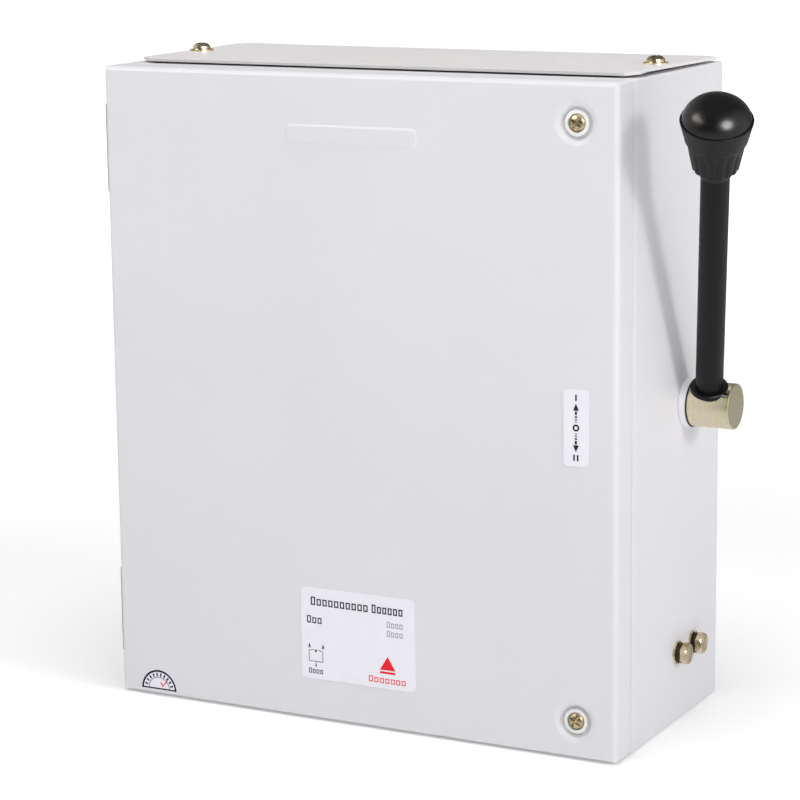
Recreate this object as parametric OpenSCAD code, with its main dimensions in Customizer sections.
// Wall-mounted manual transfer switch: a sheet-steel enclosure with a hinged door, a lever on
// its right-hand side, and a four-pole double-throw knife switch inside.
//
// Frame: the back of the enclosure lies on the plane Y = 0, centred on the origin. The door faces
// -Y, +Z is up, and the lever's shaft comes out of the +X side.

/* [Enclosure] */
// Width of the enclosure
body_w = 283.4; // [270:0.1:320]
// Height of the enclosure
body_h = 330; // [320:1:380]
// Depth of the body, without the door
body_d = 113; // [108:1:130]
// Thickness of the body's sheet steel
sheet = 1.5; // [1:0.1:2]
// Outside radius of the folded edges
fold_r = 3; // [2.5:0.1:4]
// Width of the frame around the front opening
front_frame = 15.7; // [12:0.1:20]

/* [Door] */
// Depth of the door's folded sides
door_d = 17; // [14:0.5:20]
// Gap between the door's folded sides and the body
door_gap = 2; // [1:0.1:3]
// Thickness of the door's sheet steel
door_sheet = 1.2; // [1:0.1:1.5]

/* [Door hinges] */
// Outside diameter of a hinge barrel
barrel_d = 8; // [6:0.5:9]
// Length of a whole hinge
hinge_len = 45; // [40:1:60]
// Length of the upper barrel, the one on the door
hinge_door_len = 10; // [8:1:20]
// Height of the hinges' middles above and below the enclosure's middle
hinge_z = 122; // [100:1:130]
// Diameter of a hinge pin
hinge_pin_d = 4; // [3:0.5:4]

/* [Door latches] */
// Distance of the latch screws from the enclosure's vertical centre line
latch_x = 120; // [110:1:122]
// Height of the latch screws above and below the enclosure's middle
latch_z = 145.5; // [140:0.5:147]
// Outside diameter of the pressed dimple around a latch screw
dimple_d = 21.5; // [18:0.5:22]
// Depth of that dimple
dimple_depth = 3.2; // [2.5:0.1:4]
// Thread diameter of a latch screw
latch_thread_d = 5; // [4:0.5:5]

/* [Gland plates] */
// Width of the upper gland plate
gland_w = 274; // [260:1:274]
// Depth of the upper gland plate, front to back
gland_d = 106; // [90:1:106]
// Size of the cut corners of the upper gland plate
gland_corner = 9; // [4:0.5:12]
// Size of the cut corners at its right-hand end
gland_nick = 6; // [3:0.5:9]
// How much further the upper gland plate reaches on the right
gland_over_x = 3.8; // [0:0.1:4]
// How much further the upper gland plate reaches at the back
gland_over_y = 3; // [0:0.5:3]
// Width of the cable opening under a gland plate
entry_w = 236; // [200:1:240]
// Depth of that opening, front to back
entry_d = 76; // [60:1:80]
// Distance of the gland plate screws from the centre line
gland_screw_x = 129; // [126:0.5:131]

/* [Lever] */
// Distance of the lever shaft in front of the wall
shaft_y = 44; // [40:1:50]
// Height of the lever shaft above the enclosure's middle
shaft_z = -1.5; // [-5:0.5:5]
// Lean of the lever forwards from upright in its stored, upper position, in degrees
lever_lean = 27.5; // [20:0.5:35]
// Lean of the lever outwards, away from the enclosure, in degrees
lever_out = 10.9; // [8:0.1:14]
// Distance from the shaft's axis to the widest part of the ball
lever_len = 171.5; // [150:0.1:200]
// Diameter of the lever's rod
rod_d = 13.7; // [12:0.1:15]
// Widest diameter of the ball, which is slightly flattened
ball_d = 32.5; // [30:0.5:36]
// Height of the ball, along the rod
ball_h = 24.6; // [24:0.1:30]
// Distance of the rod's foot from the enclosure's centre plane
rod_x = 153.4; // [153:0.1:155]
// Diameter of the shaft's head, which the rod stands in
head_d = 23; // [22:0.5:26]
// Distance of the head's outer face from the enclosure's centre plane
head_end_x = 167.8; // [165:0.1:170]

/* [Switch] */
// Number of poles
poles = 4; // [2:1:4]
// Distance between neighbouring poles
pole_pitch = 50; // [45:1:50]
// Distance from the shaft's axis to the tip of a moving blade
blade_r = 48; // [44:1:50]
// Width of a moving blade
blade_w = 16; // [12:1:18]
// Thickness of a moving blade
blade_t = 3; // [2:0.5:4]
// Diameter of the insulating sleeve on the shaft
sleeve_d = 24; // [22:0.5:26]
// Diameter of the shaft at its bearings
shaft_d = 12; // [10:0.5:12]

/* [Wall fixing] */
// Distance between the wall fixing holes across the enclosure
wall_w = 220; // [200:1:240]
// Distance between the wall fixing holes up the enclosure
wall_h = 270; // [260:1:280]
// Diameter of a wall fixing hole
wall_hole_d = 7; // [6:0.5:9]

/* [Hidden] */
$fn = 64;
cut = 0.5;              // how far a cutting shape stands out of what it cuts
run = 0.05;             // radial clearance of a running fit
snug = 0.02;            // radial clearance of a piece held in its hole

side_x = body_w / 2;
top_z = body_h / 2;
inner_x = side_x - sheet;
inner_z = top_z - sheet;
open_x = side_x - front_frame;
open_z = top_z - front_frame;
door_y = body_d + door_gap + door_d;       // distance of the door's face from the wall
floor_y = door_y - dimple_depth;           // face of the dimple's floor

hinge_x = side_x + barrel_d / 2 + 0.2;
hinge_y = body_d + door_gap / 2;
leaf_t = 1.5;
leaf_w = 11;
leaf_start = 3.5;                          // from the hinge's axis to the leaf's flat part
leaf_screw = 10.5;                         // from the hinge's axis to the leaf's rivets
rivet_d = 3;
rivet_step = 9;
hinge_rise = 1;                            // both hinges sit this much above their even places
barrel_gap = 0.3;

gasket_t = 1;
gasket_in = 1.5;                           // how far the upper gasket stops short of its plate's
gasket_back = 4;                           // left and right ends, and of its front and rear edges
plate_t = 1.5;
mid_y = 57;                                // middle of the cable openings, from the wall
gland_bolt_d = 5;
gland_flange_d = 12.4;
gland_head_h = 4.2;
gland_nut_t = 4;
gland_nut_flats = 8;
knockouts = [-90, -30, 30, 90];
knockout_d = 28;
knockout_groove = 0.3;

bracket_t = 2;                             // brackets and nuts that the latch screws reach
latch_nut_t = 5;
latch_nut_d = 13;
latch_hole = latch_thread_d + 2;
cup_washer_d = 12.4;                       // white washer in a dimple, hollowed for the head
cup_washer_in = 8.9;
cup_washer_t = 2.2;
cup_washer_floor = 0.7;
latch_head_d = 8.2;
latch_head_h = 2.6;

bush_flange_d = 24.6;
bush_flange_t = 3.6;
bush_d = 16;
bush_in = 12;
bush_nut_t = 4;
bush_nut_flats = 22;
washer_t = 0.7;
head_x = side_x + bush_flange_t + washer_t;
end_edge = 0.6;                            // width of the rounded edge of the head's outer face
seat_r = 10;                               // from the shaft's axis to the seat of the collar
seat_d = 19.6;
spigot_d = 10;
spigot_in = 7;
collar_d = 18.6;
collar_t = 2.4;
collar_edge = 0.5;
lock_pin_d = 1.6;
lock_pin_in = 6.8;                         // from the rod's axis to the pin's inner end
lock_pin_out = 11.2;                       // and to its outer end
lock_pin_y = 4.2;                          // from the rod's axis to the pin's axis, forwards
lock_pin_r = seat_r + 1.3;                 // from the shaft's axis to the pin's axis
lock_slot_w = 3.4;
lock_slot_out = 11.4;
ball_r = ball_d / 2;
cup_r = ball_r + 1;                        // lip of the cup under the ball
cup_lip = 1;
cup_step = -10;
cup_foot = -25.6;
cup_foot_r = 10.9;
cup_neck = -30;
cup_neck_r = 7.4;

base_gap = 10;
base_t = 8;
base_y = base_gap + base_t;                // face of the switch's base
base_w = 244;
base_h = 124;
standoff_d = 12;
standoff_x = 114;
standoff_z = 54;
frame_x = 104;                             // inner faces of the mechanism's side plates
frame_t = 2;
frame_foot = 14;
frame_front = 64;
frame_h = 76;
tie_y = 31;
tie_z = 20;
tie_d = 6;
strip_t = 3;
jaw_t = 1.5;
jaw_gap = 0.05;
jaw_near = 26;
jaw_far = 46;
jaw_front = 64;
strip_w = 12;
strip_far = 60;
terminal_z = 53.5;
load_x = 14;
load_z = 22;
clip_front = 31;
clip_h = 16;
terminal_d = 6;
barrier_t = 2;
barrier_front = 72;
barrier_h = 122;
square = 11;                               // square part of the shaft, across its flats
bearing_d = 18;
bearing_flange_d = 22;
bearing_flange_t = 1.5;
frame_screw_z = 26;
circlip_x = [-frame_x - 6, frame_x + 4];   // inner sides of the two circlips' grooves
circlip_groove = 1.2;
circlip_t = 1;
earth_y = [33.5, 54];
earth_z = -128.6;
earth_d = 6;
earth_plain_d = 12;
earth_plain_t = 1.2;
earth_spring_d = 10.4;
earth_spring_t = 2.3;
earth_flats = 10;
earth_head_h = 3.2;
earth_nut_t = 5;
earth_grip = 17;                           // length of an earth bolt under its head

rating_w = 65;
rating_h = 48;
rating_x = 0.6;
rating_z = -118.6;
position_w = 13;
position_h = 37.5;
position_z = 0.7;
sticker_r = 10.75;
sticker_x = -118.65;
sticker_z = -161.3;
label_t = 0.4;
sticker_t = 0.3;

pole_x = [for (i = [0 : poles - 1]) (i - (poles - 1) / 2) * pole_pitch];
ends = [-1, 1];

// ---------------------------------------------------------------- shared shapes

// A rectangle with round corners, centred on the origin.
module round_rect(w, h, r) {
    square([w - 2 * r, h], center = true);
    square([w, h - 2 * r], center = true);
    for (x = ends, y = ends)
        translate([x * (w / 2 - r), y * (h / 2 - r)])
            circle(r);
}

// A block from the wall plane forwards, with every edge rounded by r except the rear ones.
module folded_block(w, d, h, r) {
    intersection() {
        translate([0, -d / 2, -h / 2])
            linear_extrude(h)
                union() {
                    round_rect(w, d, r);
                    translate([-w / 2, 0])
                        square([w, d / 2]);
                }
        rotate([90, 0, 0])
            linear_extrude(d)
                round_rect(w, h, r / 2);
        translate([-w / 2, -d / 2, 0])
            rotate([90, 0, 90])
                linear_extrude(w)
                    union() {
                        round_rect(d, h, r);
                        translate([0, -h / 2])
                            square([d / 2, h]);
                    }
    }
}

// Cylinders along an axis of the frame, starting at the origin and running the positive way.
module rod_x_axis(d, l) {
    rotate([0, 90, 0])
        cylinder(d = d, h = l);
}

module rod_to_front(d, l) {
    rotate([90, 0, 0])
        cylinder(d = d, h = l);
}

// A hexagon prism along Z, sized by its distance across the flats.
module hex(across, h) {
    cylinder(d = across / cos(30), h = h, $fn = 6);
}

// A ring along Z.
module ring(outer_d, inner_d, h) {
    difference() {
        cylinder(d = outer_d, h = h);
        translate([0, 0, -cut])
            cylinder(d = inner_d, h = h + 2 * cut);
    }
}

// Half of an oval's outline, from its lowest point to its highest, for turning about Z.
function half_oval(r, h) = [for (a = [-90 : 7.5 : 90]) [r * cos(a), h / 2 * sin(a)]];

// The lever's own frame: the origin is the rod's foot on the shaft's axis, +Z runs up the rod.
module along_lever() {
    translate([rod_x, -shaft_y, shaft_z])
        rotate([lever_lean, 0, 0])
            rotate([0, lever_out, 0])
                children();
}

// Both hinges, at the hinge's axis.
module at_hinges() {
    for (z = ends)
        translate([-hinge_x, -hinge_y, z * hinge_z + hinge_rise])
            children();
}

// A latch screw's place on the wall plane, the upper one for z = 1 and the lower for z = -1.
module at_latch(z) {
    translate([latch_x, 0, z * latch_z])
        children();
}

// ---------------------------------------------------------------- enclosure

module enclosure_body() {
    color("#dcdde0")
        difference() {
            folded_block(body_w, body_d, body_h, fold_r);
            translate([-inner_x, -body_d + sheet, -inner_z])
                cube([2 * inner_x, body_d - 2 * sheet, 2 * inner_z]);
            translate([0, cut - body_d + sheet, 0])
                rotate([90, 0, 0])
                    linear_extrude(sheet + 2 * cut)
                        round_rect(2 * open_x, 2 * open_z, 4);
            for (z = [-top_z - cut, inner_z - cut])
                translate([-entry_w / 2, -mid_y - entry_d / 2, z])
                    cube([entry_w, entry_d, sheet + 2 * cut]);
            for (x = ends)
                translate([x * gland_screw_x, -mid_y, -top_z - cut])
                    cylinder(d = gland_bolt_d + 0.4, h = body_h + 2 * cut);
            for (x = ends, z = ends)
                translate([x * wall_w / 2, cut, z * wall_h / 2])
                    rod_to_front(wall_hole_d, sheet + 2 * cut);
            translate([inner_x - cut, -shaft_y, shaft_z])
                rod_x_axis(bush_d + 0.2, sheet + 2 * cut);
            for (y = earth_y)
                translate([inner_x - cut, -y, earth_z])
                    rod_x_axis(earth_d + 0.4, sheet + 2 * cut);
            for (z = ends, k = ends)
                translate([-side_x - cut, -hinge_y + leaf_screw,
                           z * hinge_z + hinge_rise - hinge_door_len / 2 + k * rivet_step])
                    rod_x_axis(rivet_d + 2 * snug, sheet + 2 * cut);
        }
}

module gland_outline(w, d, corner, nick, over_x, over_y) {
    right = w / 2 + over_x;
    back = d / 2 + over_y;
    polygon([
        [-w / 2 + corner, -d / 2], [right - nick, -d / 2], [right, -d / 2 + nick],
        [right, back - nick], [right - nick, back], [-w / 2 + corner, back],
        [-w / 2, back - corner], [-w / 2, -d / 2 + corner]
    ]);
}

// A plate with chamfered corners, two bolt holes and part-pressed knockouts in its upper face.
module gland_plate(w, d, nick = gland_corner, over_x = 0, over_y = 0) {
    difference() {
        linear_extrude(plate_t)
            gland_outline(w, d, gland_corner, nick, over_x, over_y);
        for (x = ends)
            translate([x * gland_screw_x, 0, -cut])
                cylinder(d = gland_bolt_d + 0.4, h = plate_t + 2 * cut);
        for (x = knockouts)
            translate([x, 0, plate_t - knockout_groove])
                ring(knockout_d + 1, knockout_d - 0.2, knockout_groove + cut);
    }
}

module gland_gasket(w, d) {
    difference() {
        linear_extrude(gasket_t)
            gland_outline(w, d, gland_corner, gland_corner, 0, 0);
        translate([-entry_w / 2, -entry_d / 2, -cut])
            cube([entry_w, entry_d, gasket_t + 2 * cut]);
        for (x = ends)
            translate([x * gland_screw_x, 0, -cut])
                cylinder(d = gland_bolt_d + 0.4, h = gasket_t + 2 * cut);
    }
}

module upper_gland_plate() {
    color("#d6d3d4")
        translate([0, -mid_y, top_z + gasket_t])
            gland_plate(gland_w, gland_d, gland_nick, gland_over_x, gland_over_y);
}

module upper_gland_gasket() {
    color("#1c1c1e")
        translate([0, -mid_y, top_z])
            gland_gasket(gland_w - 2 * gasket_in, gland_d - 2 * gasket_back);
}

// The lower plate lies inside the enclosure, on its floor.
module lower_gland_plate() {
    color("#d6d3d4")
        translate([0, -mid_y, -inner_z + gasket_t])
            gland_plate(gland_w - 2, gland_d - 8);
}

module lower_gland_gasket() {
    color("#1c1c1e")
        translate([0, -mid_y, -inner_z])
            gland_gasket(gland_w - 4, gland_d - 10);
}

// A domed screw with a flange, standing on the plane Z = 0 with its thread below.
module flange_screw(thread_l) {
    flange_t = 0.9;
    dome_r = 0.36 * gland_flange_d;
    rotate_extrude()
        union() {
            translate([0, -thread_l])
                square([gland_bolt_d / 2, thread_l + gland_head_h / 2]);
            polygon([
                [0, 0], [gland_flange_d / 2, 0], [gland_flange_d / 2, flange_t],
                [1.05 * dome_r, 1.3 * flange_t], [dome_r, 0.6 * gland_head_h],
                [0.75 * dome_r, 0.88 * gland_head_h], [0.4 * dome_r, gland_head_h],
                [0, gland_head_h]
            ]);
        }
}

module gland_screws() {
    slot_l = 6.8;
    slot_w = 1.2;
    slot_deep = 1;
    color("#b9a878")
        for (x = ends) {
            translate([x * gland_screw_x, -mid_y, top_z + gasket_t + plate_t])
                difference() {
                    flange_screw(9);
                    for (a = [0, 90])
                        rotate([0, 0, a])
                            translate([-slot_l / 2, -slot_w / 2, gland_head_h - slot_deep])
                                cube([slot_l, slot_w, slot_deep + cut]);
                }
            translate([x * gland_screw_x, -mid_y, -inner_z + gasket_t + plate_t])
                flange_screw(3.5);
        }
}

module gland_nuts() {
    color("#a5a7a4")
        for (x = ends)
            translate([x * gland_screw_x, -mid_y, inner_z - gland_nut_t])
                difference() {
                    hex(gland_nut_flats, gland_nut_t);
                    translate([0, 0, -cut])
                        cylinder(d = gland_bolt_d + 2 * snug, h = gland_nut_t + 2 * cut);
                }
}

// ---------------------------------------------------------------- hinges

// One half of a hinge: a barrel from z0 to z1 and a flat leaf beside it, on the enclosure's side.
// dir is 1 for the body's leaf, which runs back, and -1 for the door's, which runs forwards.
module hinge_half(z0, z1, leaf0, leaf1, dir, bore_d) {
    leaf_x = hinge_x - side_x - leaf_t;
    difference() {
        union() {
            translate([0, 0, z0])
                cylinder(d = barrel_d, h = z1 - z0);
            translate([leaf_x, dir > 0 ? 0 : -leaf_start - leaf_w, z0])
                cube([leaf_t, leaf_start + leaf_w, z1 - z0]);
            translate([leaf_x, dir > 0 ? leaf_start : -leaf_start - leaf_w, leaf0])
                cube([leaf_t, leaf_w, leaf1 - leaf0]);
        }
        translate([0, 0, z0 - cut])
            cylinder(d = bore_d, h = z1 - z0 + 2 * cut);
        for (k = ends)
            translate([leaf_x - cut, dir * leaf_screw, -hinge_door_len / 2 + k * rivet_step])
                rod_x_axis(rivet_d + 2 * snug, leaf_t + 2 * cut);
    }
}

module hinge_body_leaves() {
    split = hinge_len / 2 - hinge_door_len;
    color("#9a9c94")
        at_hinges()
            hinge_half(-hinge_len / 2, split - barrel_gap, -hinge_len / 2, split - barrel_gap,
                       1, hinge_pin_d + 2 * snug);
}

module hinge_door_leaves() {
    split = hinge_len / 2 - hinge_door_len;
    color("#8f9190")
        at_hinges()
            hinge_half(split, hinge_len / 2, -hinge_len / 2, hinge_len / 2,
                       -1, hinge_pin_d + 2 * run);
}

module hinge_pins() {
    color("#8a8c88")
        at_hinges()
            translate([0, 0, -hinge_len / 2 + 4])
                cylinder(d = hinge_pin_d, h = hinge_len - 4.5);
}

// Rivets through a leaf and the sheet behind it.
module rivets(dir, grip) {
    head_h = 1.2;
    for (z = ends, k = ends)
        translate([-side_x - leaf_t, -hinge_y + dir * leaf_screw,
                   z * hinge_z + hinge_rise - hinge_door_len / 2 + k * rivet_step])
            union() {
                rod_x_axis(rivet_d, leaf_t + grip + head_h);
                translate([-head_h, 0, 0])
                    rotate([0, 90, 0])
                        cylinder(d1 = 1.2 * rivet_d, d2 = 1.9 * rivet_d, h = head_h);
                translate([leaf_t + grip, 0, 0])
                    rotate([0, 90, 0])
                        cylinder(d1 = 1.7 * rivet_d, d2 = 1.25 * rivet_d, h = head_h);
            }
}

module hinge_body_rivets() {
    color("#b4b6b4")
        rivets(1, sheet);
}

module hinge_door_rivets() {
    color("#b4b6b4")
        rivets(-1, door_sheet);
}

// ---------------------------------------------------------------- fittings in the walls

module shaft_bush() {
    color("#e4e2ea")
        translate([side_x, -shaft_y, shaft_z])
            rotate([0, 90, 0])
                difference() {
                    union() {
                        cylinder(d1 = bush_flange_d, d2 = bush_flange_d - 1, h = bush_flange_t);
                        translate([0, 0, -bush_in])
                            cylinder(d = bush_d, h = bush_in + cut);
                    }
                    translate([0, 0, -bush_in - cut])
                        cylinder(d = shaft_d + 2 * run, h = bush_in + bush_flange_t + 2 * cut);
                }
}

module bush_nut() {
    color("#a8a9a6")
        translate([inner_x - bush_nut_t, -shaft_y, shaft_z])
            rotate([0, 90, 0])
                difference() {
                    hex(bush_nut_flats, bush_nut_t);
                    translate([0, 0, -cut])
                        cylinder(d = bush_d + 2 * snug, h = bush_nut_t + 2 * cut);
                }
}

// A flat bracket behind each right-hand corner of the front opening, with a hole for the latch.
module latch_brackets() {
    edge = 4;
    inwards = 12;
    to_middle = 8;
    reach_x = side_x - edge - latch_x + inwards;
    reach_z = top_z - edge - latch_z + to_middle;
    color("#c9cacc")
        for (z = ends)
            translate([latch_x, -body_d + sheet + bracket_t, z * latch_z])
                rotate([90, 0, 0])
                    linear_extrude(bracket_t)
                        difference() {
                            translate([-inwards, z > 0 ? -to_middle : to_middle - reach_z])
                                square([reach_x, reach_z]);
                            circle(d = latch_hole);
                        }
}

module latch_nuts() {
    color("#a8a9a6")
        for (z = ends)
            at_latch(z)
                translate([0, -body_d + sheet + bracket_t + latch_nut_t, 0])
                    rotate([90, 0, 0])
                        ring(latch_nut_d, latch_hole, latch_nut_t);
}

module at_earths(x) {
    for (y = earth_y)
        translate([x, -y, earth_z])
            rotate([0, 90, 0])
                children();
}

module earth_plain_washers() {
    color("#cfc9b0")
        at_earths(side_x)
            ring(earth_plain_d, earth_d + 0.4, earth_plain_t);
}

module earth_spring_washers() {
    split = 0.8;
    color("#5d5a4c")
        at_earths(side_x + earth_plain_t)
            difference() {
                ring(earth_spring_d, earth_d + 0.3, earth_spring_t);
                translate([0, -split / 2, -cut])
                    rotate([0, 0, -12])
                        cube([earth_spring_d, split, earth_spring_t + 2 * cut]);
            }
}

module earth_bolts() {
    color("#c2ac6e")
        at_earths(side_x + earth_plain_t + earth_spring_t)
            union() {
                intersection() {
                    hex(earth_flats, earth_head_h);
                    cylinder(d1 = 1.32 * earth_flats, d2 = 1.02 * earth_flats, h = earth_head_h);
                }
                translate([0, 0, -earth_grip])
                    cylinder(d = earth_d, h = earth_grip + cut);
            }
}

module earth_nuts() {
    color("#c2ac6e")
        at_earths(inner_x - earth_nut_t)
            difference() {
                hex(earth_flats, earth_nut_t);
                translate([0, 0, -cut])
                    cylinder(d = earth_d + 2 * snug, h = earth_nut_t + 2 * cut);
            }
}

// ---------------------------------------------------------------- switch, fixed parts

module at_corners(x, z) {
    for (i = ends, k = ends)
        translate([i * x, 0, shaft_z + k * z])
            children();
}

// Terminal places of one pole: upper, lower and load.
function terminal_places(x) = [
    [x, shaft_z + terminal_z], [x, shaft_z - terminal_z], [x + load_x, shaft_z + load_z]
];

module switch_base() {
    color("#2b2a2c")
        difference() {
            translate([0, -base_gap, shaft_z])
                rotate([90, 0, 0])
                    linear_extrude(base_t)
                        round_rect(base_w, base_h, 5);
            at_corners(standoff_x, standoff_z)
                translate([0, cut - base_gap, 0])
                    rod_to_front(5.4, base_t + 2 * cut);
            for (x = pole_x, p = terminal_places(x))
                translate([p[0], -base_y + 6, p[1]])
                    rod_to_front(terminal_d + 0.2, 6 + cut);
            at_corners(frame_x + frame_t + frame_foot / 2, frame_screw_z)
                translate([0, -base_y + 6, 0])
                    rod_to_front(4.2, 6 + cut);
        }
}

module base_standoffs() {
    color("#b9bbb8")
        at_corners(standoff_x, standoff_z)
            translate([0, -sheet, 0])
                difference() {
                    rod_to_front(standoff_d, base_gap - sheet);
                    translate([0, -2, 0])
                        rod_to_front(5.1, base_gap);
                }
}

// A pan-head screw with its head's seat at the origin, pointing into the wall.
module pan_screw(d, l, head_d, head_h) {
    slot_w = 1.2;
    slot_l = 0.6 * head_d;
    slot_deep = head_h / 2;
    difference() {
        rotate([90, 0, 0])
            union() {
                translate([0, 0, -l])
                    cylinder(d = d, h = l + cut);
                cylinder(d = head_d, h = head_h * 0.5);
                translate([0, 0, head_h * 0.5])
                    cylinder(d1 = head_d, d2 = head_d * 0.72, h = head_h * 0.5);
            }
        for (a = [0, 90])
            rotate([0, a, 0])
                translate([-slot_w / 2, -head_h - cut, -slot_l / 2])
                    cube([slot_w, slot_deep + cut, slot_l]);
    }
}

module base_screws() {
    color("#c7c8c6")
        at_corners(standoff_x, standoff_z)
            translate([0, -base_y, 0])
                pan_screw(5, base_t + 5, 9.5, 3.6);
}

// A bent side plate of the mechanism's frame. side is -1 for the left one and 1 for the right.
module frame_plate(side) {
    translate([side * frame_x, -base_y, shaft_z])
        difference() {
            union() {
                translate([side > 0 ? 0 : -frame_t, base_y - frame_front, -frame_h / 2])
                    cube([frame_t, frame_front - base_y, frame_h]);
                translate([side > 0 ? 0 : -frame_t - frame_foot, -frame_t, -frame_h / 2])
                    cube([frame_t + frame_foot, frame_t, frame_h]);
            }
            translate([-10, base_y - shaft_y, 0])
                rod_x_axis(bearing_d + 2 * snug, 20);
            for (z = ends) {
                translate([-10, base_y - tie_y, z * tie_z])
                    rod_x_axis(tie_d + 2 * snug, 20);
                translate([side * (frame_t + frame_foot / 2), cut, z * frame_screw_z])
                    rod_to_front(4.4, frame_t + 2 * cut);
            }
        }
}

module left_frame_plate() {
    color("#b4b7b5")
        frame_plate(-1);
}

module right_frame_plate() {
    color("#b4b7b5")
        frame_plate(1);
}

module frame_screws() {
    color("#c7c8c6")
        at_corners(frame_x + frame_t + frame_foot / 2, frame_screw_z)
            translate([0, -base_y - frame_t, 0])
                pan_screw(4, frame_t + 5, 8, 3);
}

// Flanged bearings pressed into the frame plates from inside.
module shaft_bearings() {
    color("#b08a4a")
        for (side = ends)
            translate([side * (frame_x - bearing_flange_t), -shaft_y, shaft_z])
                rotate([0, side * 90, 0])
                    difference() {
                        union() {
                            cylinder(d = bearing_flange_d, h = bearing_flange_t);
                            cylinder(d = bearing_d, h = bearing_flange_t + frame_t + 1);
                        }
                        translate([0, 0, -cut])
                            cylinder(d = shaft_d + 2 * run, h = 5 + 2 * cut);
                    }
}

module tie_rods() {
    half = frame_x + frame_t + 3;
    head_flats = 10;
    head_h = 4.4;
    color("#c7c8c6")
        for (z = ends)
            translate([-half, -tie_y, shaft_z + z * tie_z])
                union() {
                    rod_x_axis(tie_d, 2 * half);
                    for (x = [3 - head_h, 2 * half - 3])
                        translate([x, 0, 0])
                            rotate([0, 90, 0])
                                hex(head_flats, head_h);
                }
}

// A pair of spring leaves on a copper strip. up is 1 for the upper contacts, -1 for the lower.
module jaws(up) {
    for (x = pole_x)
        translate([x, 0, shaft_z])
            mirror([0, 0, up > 0 ? 0 : 1])
                difference() {
                    union() {
                        translate([-strip_w / 2, -base_y - strip_t, jaw_near])
                            cube([strip_w, strip_t, strip_far - jaw_near]);
                        for (side = ends)
                            translate([side > 0 ? blade_t / 2 + jaw_gap
                                                : -blade_t / 2 - jaw_gap - jaw_t, 0, jaw_near])
                                rotate([90, 0, 90])
                                    linear_extrude(jaw_t)
                                        jaw_leaf();
                    }
                    translate([0, cut - base_y, terminal_z])
                        rod_to_front(terminal_d + 0.4, strip_t + 2 * cut);
                }
}

// Side view of one leaf, with Y to the right and its lower edge on Z = 0.
module jaw_leaf() {
    high = jaw_far - jaw_near;
    lead_in = 12;                          // long chamfer where the blade enters
    lead_h = 7;
    corner = 5;
    polygon([
        [-base_y, 0], [-base_y, high], [-jaw_front + lead_in, high], [-jaw_front, high - lead_h],
        [-jaw_front, corner], [-jaw_front + corner, 0]
    ]);
}

module upper_jaws() {
    color("#c58b62")
        jaws(1);
}

module lower_jaws() {
    color("#c58b62")
        jaws(-1);
}

// Clips that grip the moving blades' rings, each with a strip out to its load terminal.
module load_clips() {
    lug_w = 13;
    color("#c58b62")
        for (x = pole_x)
            translate([x, -base_y, shaft_z])
                difference() {
                    union() {
                        translate([-blade_t / 2 - jaw_gap - jaw_t, -strip_t, -clip_h / 2])
                            cube([load_x + lug_w / 2 + blade_t / 2 + jaw_gap + jaw_t,
                                  strip_t, clip_h]);
                        translate([load_x - lug_w / 2, -strip_t, -clip_h / 2])
                            cube([lug_w, strip_t, load_z + clip_h / 2 + 7]);
                        for (side = ends)
                            translate([side > 0 ? blade_t / 2 + jaw_gap
                                                : -blade_t / 2 - jaw_gap - jaw_t,
                                       base_y - clip_front, -clip_h / 2])
                                cube([jaw_t, clip_front - base_y, clip_h]);
                    }
                    translate([load_x, cut, load_z])
                        rod_to_front(terminal_d + 0.4, strip_t + 2 * cut);
                }
}

module terminal_screws() {
    color("#c9ba86")
        for (x = pole_x, p = terminal_places(x))
            translate([p[0], -base_y - strip_t, p[1]])
                pan_screw(terminal_d, strip_t + 5, 11, 4.4);
}

module phase_barriers() {
    color("#c9bfa6")
        for (i = [0 : poles - 2])
            translate([pole_x[i] + pole_pitch / 2 - barrier_t / 2, 0, shaft_z])
                rotate([90, 0, 90])
                    linear_extrude(barrier_t)
                        difference() {
                            translate([-barrier_front, -barrier_h / 2])
                                square([barrier_front - base_y, barrier_h]);
                            translate([-shaft_y, 0])
                                circle(d = sleeve_d + 3);
                            for (z = ends)
                                translate([-tie_y, z * tie_z])
                                    circle(d = tie_d + 1);
                        }
}

// ---------------------------------------------------------------- door

// The dish pressed round a latch screw, as a solid of revolution about the screw's axis.
module dimple() {
    shoulder_r = dimple_d / 2 - 2.2;       // between the shallow rim and the steep wall
    floor_r = dimple_d / 2 - 3.7;
    rotate_extrude()
        polygon([
            [0, 0], [dimple_d / 2, 0], [shoulder_r, 0.3 * dimple_depth],
            [floor_r, dimple_depth], [0, dimple_depth]
        ]);
}

module door_panel() {
    mid_z = 0.5;
    high = body_h - 1;
    color("#e0e0e4")
        difference() {
            union() {
                difference() {
                    translate([0, door_d - door_y, mid_z])
                        folded_block(body_w, door_d, high, fold_r);
                    translate([-side_x + door_sheet, door_sheet - door_y,
                               mid_z - high / 2 + door_sheet])
                        cube([body_w - 2 * door_sheet, door_d, high - 2 * door_sheet]);
                }
                for (z = ends)
                    at_latch(z)
                        translate([0, door_sheet / 2 - door_y, 0])
                            rotate([-90, 0, 0])
                                cylinder(d = dimple_d + 2 * door_sheet,
                                         h = dimple_depth + door_sheet / 2);
            }
            for (z = ends)
                at_latch(z) {
                    translate([0, -door_y, 0])
                        rotate([-90, 0, 0])
                            dimple();
                    translate([0, -door_y, 0])
                        rotate([-90, 0, 0])
                            cylinder(d = latch_thread_d + 0.9, h = door_d);
                }
            for (z = ends, k = ends)
                translate([-side_x - cut, -hinge_y - leaf_screw,
                           z * hinge_z + hinge_rise - hinge_door_len / 2 + k * rivet_step])
                    rod_x_axis(rivet_d + 2 * snug, door_sheet + 2 * cut);
        }
}

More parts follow.
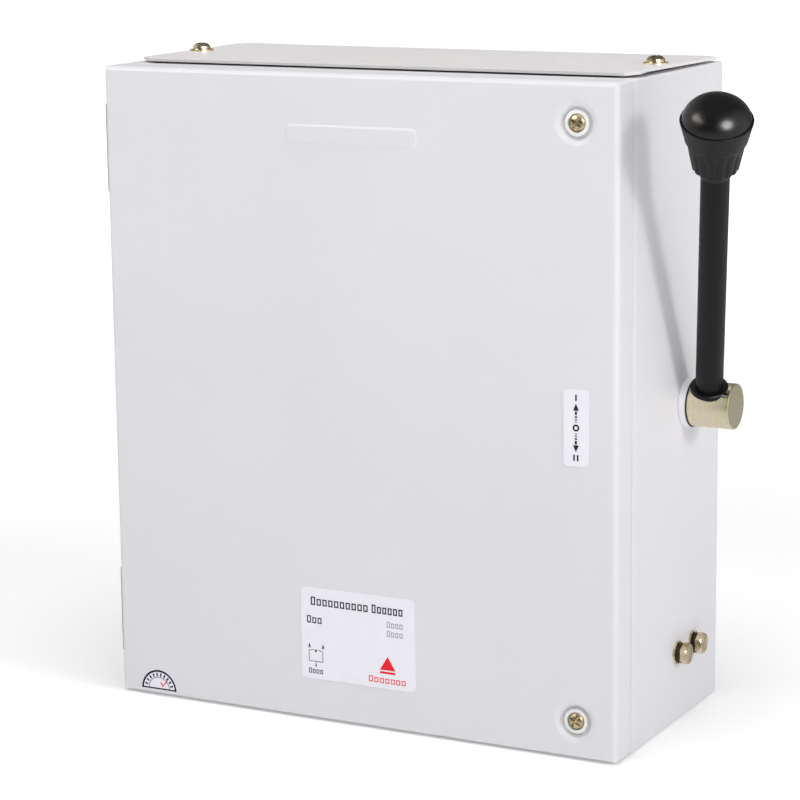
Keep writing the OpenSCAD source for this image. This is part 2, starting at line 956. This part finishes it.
// White cup washers in the dimples, which the latch screws turn in.
module latch_washers() {
    color("#f2f2f0")
        for (z = ends)
            at_latch(z)
                translate([0, -floor_y, 0])
                    rotate([90, 0, 0])
                        difference() {
                            ring(cup_washer_d, latch_thread_d + 2 * run, cup_washer_t);
                            translate([0, 0, cup_washer_floor])
                                cylinder(d = cup_washer_in, h = cup_washer_t);
                        }
}

// A captive screw: head in front, thread pointing at the wall.
module latch_screw() {
    head_r = latch_head_d / 2;
    thread_r = latch_thread_d / 2;
    seat = cup_washer_floor + run;
    top = seat + latch_head_h;
    tip = floor_y - (body_d - sheet - bracket_t - latch_nut_t) + 2;
    slot_w = 1.1;
    slot_l = 1.5 * head_r;
    slot_deep = 1.3;
    translate([0, -floor_y, 0])
        rotate([-90, 0, 0])
            difference() {
                rotate_extrude()
                    polygon([
                        [0, -top], [0.5 * head_r, -top + 0.1], [0.82 * head_r, -top + 0.7],
                        [head_r, -top + 1.7], [head_r, -seat], [thread_r, -seat],
                        [thread_r, tip - 1], [thread_r - 1, tip], [0, tip]
                    ]);
                for (a = [0, 90])
                    rotate([0, 0, 35 + a])
                        translate([-slot_l / 2, -slot_w / 2, -top - cut])
                            cube([slot_l, slot_w, slot_deep + cut]);
            }
}

module latch_clip() {
    translate([0, door_sheet + 0.3 - floor_y, 0])
        rotate([-90, 0, 0])
            ring(9.6, latch_thread_d + 2 * snug, 0.8);
}

module latch_screw_upper() {
    color("#c0a765")
        at_latch(1)
            latch_screw();
}

module latch_clip_upper() {
    color("#8f918e")
        at_latch(1)
            latch_clip();
}

module latch_screw_lower() {
    color("#c0a765")
        at_latch(-1)
            latch_screw();
}

module latch_clip_lower() {
    color("#8f918e")
        at_latch(-1)
            latch_clip();
}

module rating_plate() {
    color("#ecebf0")
        translate([rating_x, -door_y, rating_z])
            rotate([90, 0, 0])
                linear_extrude(label_t)
                    round_rect(rating_w, rating_h, 2.5);
}

module position_label() {
    color("#ecebf0")
        translate([latch_x + 0.5, -door_y, position_z])
            rotate([90, 0, 0])
                linear_extrude(label_t)
                    round_rect(position_w, position_h, 2);
}

module inspection_sticker() {
    color("#ecebf0")
        translate([sticker_x, -door_y, sticker_z])
            rotate([90, 0, 0])
                linear_extrude(sticker_t)
                    intersection() {
                        circle(r = sticker_r);
                        translate([-sticker_r, 0])
                            square([2 * sticker_r, sticker_r]);
                    }
}

// ---------------------------------------------------------------- lever and moving contacts

// Turned from one bar: the head outside, the round shaft and the square part that turns the
// sleeve. The head has a round seat and a hole for the lever's rod, and a slot for its pin.
module operating_shaft() {
    square_half = frame_x - 6;
    far_end = frame_x + 8;
    head_l = head_end_x - head_x;
    color("#c8c0a0")
        difference() {
            union() {
                translate([head_x, -shaft_y, shaft_z])
                    rotate([0, 90, 0])
                        rotate_extrude()
                            polygon([
                                [0, 0], [head_d / 2, 0], [head_d / 2, head_l - end_edge],
                                [head_d / 2 - 0.3 * end_edge, head_l - 0.3 * end_edge],
                                [head_d / 2 - end_edge, head_l], [0, head_l]
                            ]);
                translate([-far_end, -shaft_y, shaft_z])
                    rod_x_axis(shaft_d, far_end - square_half);
                translate([square_half, -shaft_y, shaft_z])
                    rod_x_axis(shaft_d, head_x - square_half + cut);
                translate([-square_half, -shaft_y, shaft_z])
                    rotate([lever_lean, 0, 0])
                        translate([0, -square / 2, -square / 2])
                            cube([2 * square_half, square, square]);
            }
            along_lever() {
                translate([0, 0, seat_r])
                    cylinder(d = seat_d, h = head_d);
                translate([0, 0, -spigot_in])
                    cylinder(d = spigot_d + 2 * snug, h = 40);
                translate([spigot_d / 2, -lock_pin_y - lock_slot_w / 2, seat_r])
                    cube([lock_slot_out - spigot_d / 2, lock_slot_w, head_d]);
            }
            for (x = circlip_x)
                translate([x, -shaft_y, shaft_z])
                    rotate([0, 90, 0])
                        ring(shaft_d + 2, shaft_d - 1.2, circlip_groove);
        }
}

module thrust_washer() {
    color("#232325")
        translate([head_x - washer_t + 0.1, -shaft_y, shaft_z])
            rotate([0, 90, 0])
                ring(head_d + 1, shaft_d + 2 * snug, washer_t - 0.1);
}

module shaft_circlips() {
    color("#5a5b5d")
        for (x = circlip_x)
            translate([x + (circlip_groove - circlip_t) / 2, -shaft_y, shaft_z])
                rotate([0, 90, 0])
                    ring(shaft_d + 5, shaft_d - 1.1, circlip_t);
}

module insulating_sleeve() {
    half = frame_x - 9;
    color("#7a2f22")
        translate([-half, -shaft_y, shaft_z])
            rotate([lever_lean, 0, 0])
                difference() {
                    rod_x_axis(sleeve_d, 2 * half);
                    translate([-cut, -square / 2 - snug, -square / 2 - snug])
                        cube([2 * half + 2 * cut, square + 2 * snug, square + 2 * snug]);
                }
}

module moving_blades() {
    ring_d = sleeve_d + 10;
    color("#c58b62")
        for (x = pole_x)
            translate([x - blade_t / 2, -shaft_y, shaft_z])
                rotate([lever_lean, 0, 0])
                    rotate([90, 0, 90])
                        linear_extrude(blade_t)
                            difference() {
                                union() {
                                    circle(d = ring_d);
                                    translate([-blade_w / 2, 0])
                                        square([blade_w, blade_r - blade_w / 2]);
                                    translate([0, blade_r - blade_w / 2])
                                        circle(d = blade_w);
                                }
                                circle(d = sleeve_d + 2 * snug);
                            }
}

module lever_rod() {
    color("#1d1e20")
        along_lever()
            union() {
                translate([0, 0, -spigot_in + 0.1])
                    cylinder(d = spigot_d, h = seat_r + spigot_in + 6);
                translate([0, 0, seat_r + collar_t])
                    cylinder(d = rod_d, h = lever_len - seat_r - collar_t - 6);
            }
}

module rod_collar() {
    color("#141416")
        along_lever()
            difference() {
                translate([0, 0, seat_r])
                    rotate_extrude()
                        polygon([
                            [0, 0], [collar_d / 2, 0], [collar_d / 2, collar_t - collar_edge],
                            [collar_d / 2 - collar_edge, collar_t], [0, collar_t]
                        ]);
                translate([0, 0, seat_r - cut])
                    cylinder(d = spigot_d + 2 * snug, h = collar_t + 2 * cut);
                translate([lock_pin_in - snug, -lock_pin_y, lock_pin_r])
                    rod_x_axis(lock_pin_d + 2 * snug, collar_d / 2);
            }
}

// A short dowel that sticks out of the collar's side into the slot of the shaft's head.
module rod_lock_pin() {
    color("#d9d6c8")
        along_lever()
            translate([lock_pin_in, -lock_pin_y, lock_pin_r])
                rod_x_axis(lock_pin_d, lock_pin_out - lock_pin_in);
}

// Fluted cup between the rod and the ball, drawn as a profile with the ball's middle at zero.
module ball_cup() {
    flutes = 16;
    flute_d = 1.8;
    flute_l = 6;
    slope = (cup_r - cup_foot_r) / (cup_lip - cup_foot);
    step_r = cup_r + (cup_step - cup_lip) * slope;
    color("#1b1b1d")
        along_lever()
            translate([0, 0, lever_len])
                difference() {
                    rotate_extrude()
                        polygon([
                            [0, cup_neck], [cup_neck_r, cup_neck], [cup_neck_r + 1.4, cup_foot],
                            [cup_foot_r - 0.5, cup_foot], [cup_foot_r, cup_foot + 0.6],
                            [step_r - 0.5, cup_step - 0.4], [step_r, cup_step],
                            [cup_r, cup_lip - 0.8], [cup_r - 0.4, cup_lip], [0, cup_lip]
                        ]);
                    rotate_extrude()
                        polygon(half_oval(ball_r + snug, ball_h + 2 * snug));
                    cylinder(r = ball_r + snug, h = cup_lip + cut);
                    translate([0, 0, cup_neck - cut])
                        cylinder(d = rod_d + 2 * snug, h = 30);
                    for (i = [0 : flutes - 1])
                        rotate([0, 0, i * 360 / flutes])
                            translate([cup_foot_r + 0.75, 0, cup_foot - cut])
                                cylinder(d = flute_d, h = flute_l);
                }
}

module ball_knob() {
    color("#0d0d0f")
        along_lever()
            translate([0, 0, lever_len])
                difference() {
                    rotate_extrude()
                        polygon(half_oval(ball_r, ball_h));
                    translate([0, 0, -ball_d])
                        cylinder(d = rod_d + 2 * snug, h = ball_d - 6 + 0.1);
                }
}

enclosure_body();
upper_gland_plate();
upper_gland_gasket();
lower_gland_plate();
lower_gland_gasket();
gland_screws();
gland_nuts();
hinge_body_leaves();
hinge_body_rivets();
hinge_pins();
shaft_bush();
bush_nut();
latch_brackets();
latch_nuts();
earth_bolts();
earth_plain_washers();
earth_spring_washers();
earth_nuts();
switch_base();
base_standoffs();
base_screws();
left_frame_plate();
right_frame_plate();
frame_screws();
shaft_bearings();
tie_rods();
upper_jaws();
lower_jaws();
load_clips();
terminal_screws();
phase_barriers();
door_panel();
hinge_door_leaves();
hinge_door_rivets();
latch_washers();
rating_plate();
position_label();
inspection_sticker();
latch_screw_upper();
latch_clip_upper();
latch_screw_lower();
latch_clip_lower();
operating_shaft();
thrust_washer();
shaft_circlips();
insulating_sleeve();
moving_blades();
lever_rod();
rod_collar();
rod_lock_pin();
ball_cup();
ball_knob();
